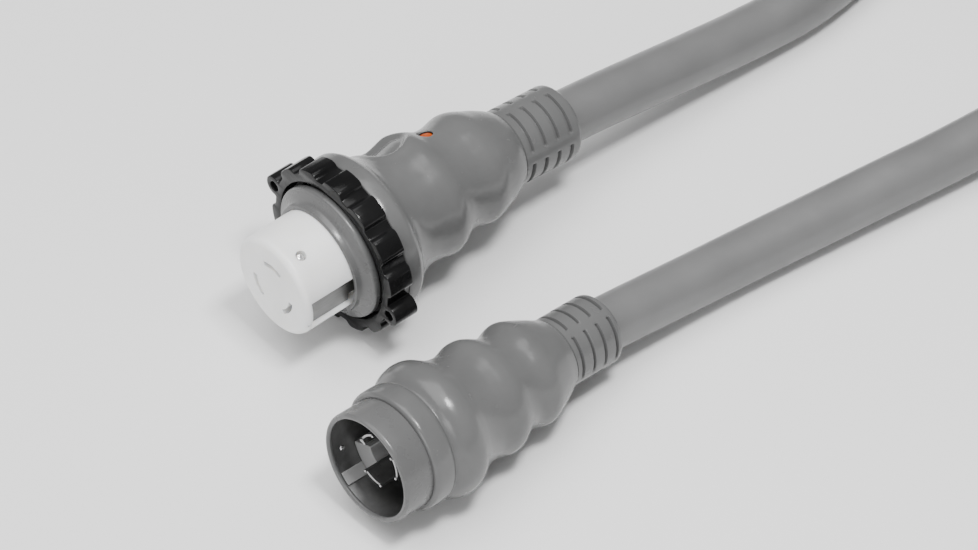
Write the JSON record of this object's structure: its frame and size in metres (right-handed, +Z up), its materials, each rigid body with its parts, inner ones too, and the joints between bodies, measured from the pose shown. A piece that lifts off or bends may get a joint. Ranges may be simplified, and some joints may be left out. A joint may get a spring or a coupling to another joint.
{
  "type": "shore power cord",
  "caption": "Grey shore power cord with a white female connector in a black locking ring, a shrouded locking male plug, and thick cable wound in a strapped coil.",
  "frame": {"origin": "on the floor, under the centre of the box round the connector and the plug as they lie side by side", "axes": "+X from the contact faces towards the cable, +Y from the plug towards the connector, +Z up"},
  "size_m": [0.8561, 0.384, 0.0991],
  "materials": {
    "amber_lens": "gloss",
    "black_ring": "semi-gloss",
    "cable_jacket": "semi-gloss",
    "contact_brass": "polished",
    "dark_base": "matte",
    "gasket": "matte",
    "grey_hard": "semi-gloss",
    "grey_moulding": "semi-gloss",
    "plated_steel": "plated",
    "strap": "woven",
    "white_carrier": "translucent satin",
    "wire_ground": "satin",
    "wire_n": "satin",
    "wire_x": "satin",
    "wire_y": "satin"
  },
  "bodies": {
    "cord_set": {"base_land": "grey_hard", "blade_n": "contact_brass", "blade_screw_n": "plated_steel", "blade_screw_x": "plated_steel", "blade_screw_y": "plated_steel", "blade_x": "contact_brass", "blade_y": "contact_brass", "cable_coil": "cable_jacket", "cable_connector_run": "cable_jacket", "cable_plug_run": "cable_jacket", "coil_strap_1": "strap", "coil_strap_2": "strap", "coil_strap_3": "strap", "connector_body": "grey_moulding", "connector_jacket_end": "cable_jacket", "connector_strain_relief": "grey_moulding", "connector_wire_ground": "wire_ground", "connector_wire_n": "wire_n", "connector_wire_x": "wire_x", "connector_wire_y": "wire_y", "contact_carrier": "white_carrier", "front_flange": "grey_hard", "ground_lug": "plated_steel", "ground_screw": "plated_steel", "ground_strip": "plated_steel", "led_lamp": "dark_base", "led_lens": "amber_lens", "plug_base": "dark_base", "plug_body": "grey_moulding", "plug_jacket_end": "cable_jacket", "plug_shell": "plated_steel", "plug_sleeve": "grey_hard", "plug_strain_relief": "grey_moulding", "plug_wire_ground": "wire_ground", "plug_wire_n": "wire_n", "plug_wire_x": "wire_x", "plug_wire_y": "wire_y", "shell_key": "grey_hard", "side_screw": "plated_steel", "socket_contact_n": "contact_brass", "socket_contact_x": "contact_brass", "socket_contact_y": "contact_brass", "socket_screw_n": "plated_steel", "socket_screw_x": "plated_steel", "socket_screw_y": "plated_steel"},
    "seal": {"ring_gasket": "gasket"},
    "ring": {"locking_ring": "black_ring"}
  },
  "joints": [
    {"name": "ring_slide", "type": "slide", "parent": "cord_set", "child": "seal", "axis": [-1, 0, 0], "range_m": [0, 0.005]},
    {"name": "ring_spin", "type": "hinge", "parent": "seal", "child": "ring", "pos_m": [-0.0292, 0.0495, 0.0465], "axis": [1, 0, 0], "continuous": true}
  ]
}
